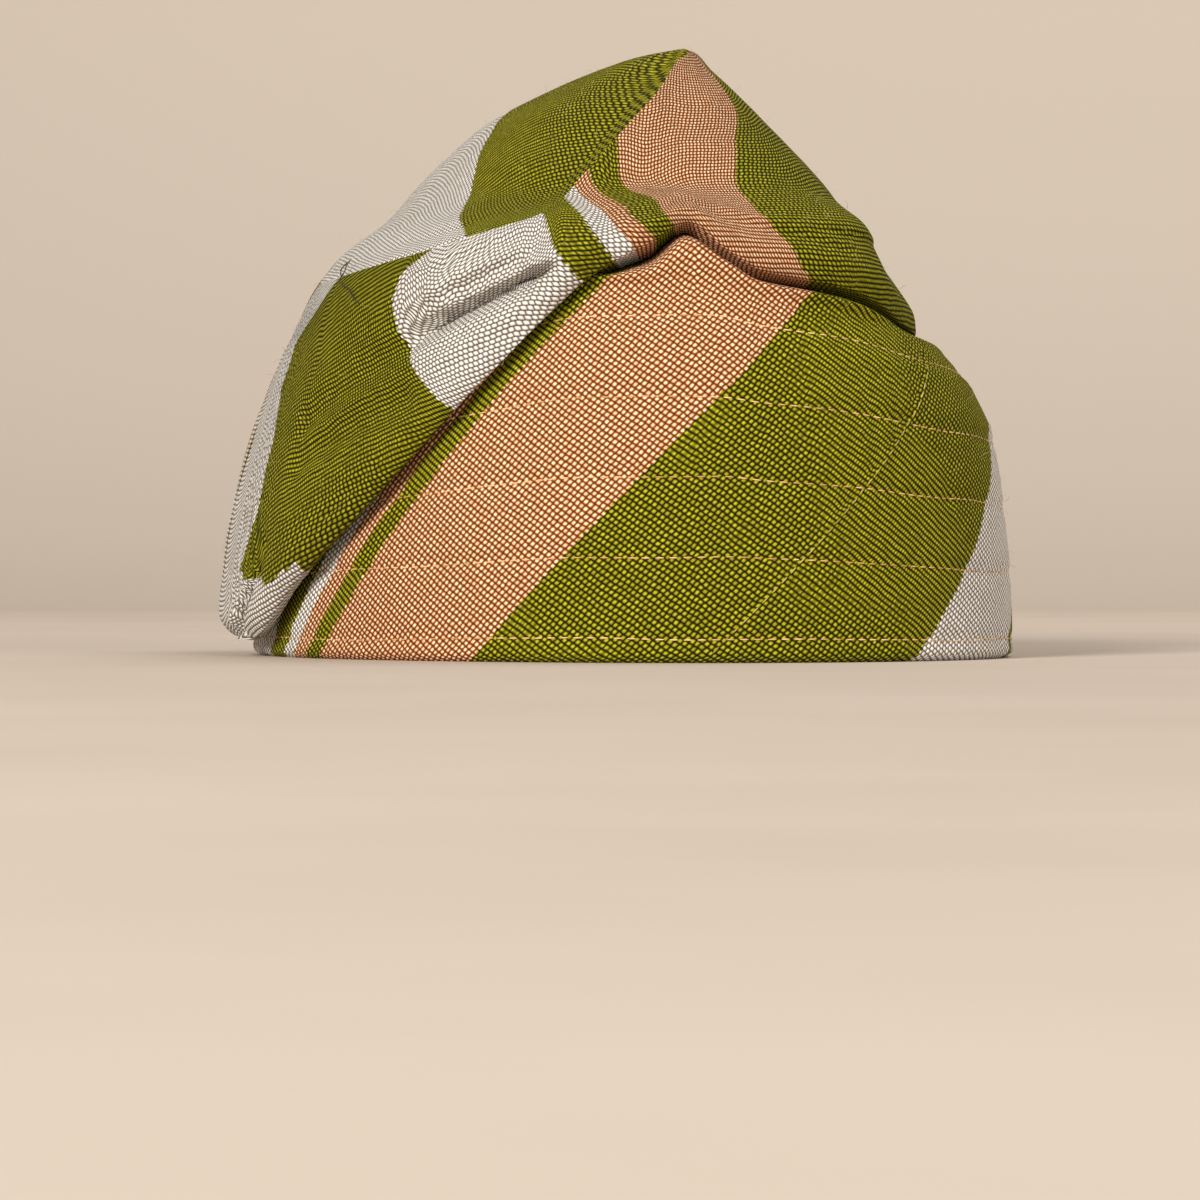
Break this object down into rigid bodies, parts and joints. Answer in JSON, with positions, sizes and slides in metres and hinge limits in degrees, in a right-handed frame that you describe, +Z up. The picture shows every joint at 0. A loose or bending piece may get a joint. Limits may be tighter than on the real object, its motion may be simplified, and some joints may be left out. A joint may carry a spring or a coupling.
{
  "type": "fila cap",
  "caption": "Soft striped cap of handwoven cloth: a stiff oval band, and a peaked crown folded down over one side of it as a pouch.",
  "frame": {"origin": "centre of the cap's length and width, at the band's lower edge", "axes": "+Z up, the wearer's front along -Y and the wearer's left along +X"},
  "size_m": [0.1674, 0.2, 0.132],
  "materials": {
    "rust_striped_cloth": "handwoven cotton in rust, olive green and white stripes, quilted with rows of gold stitches",
    "olive_striped_cloth": "handwoven cotton in olive green, white and rust stripes, soft and unlined"
  },
  "bodies": {
    "root": {"band": "rust_striped_cloth", "crown": "olive_striped_cloth"}
  },
  "joints": []
}
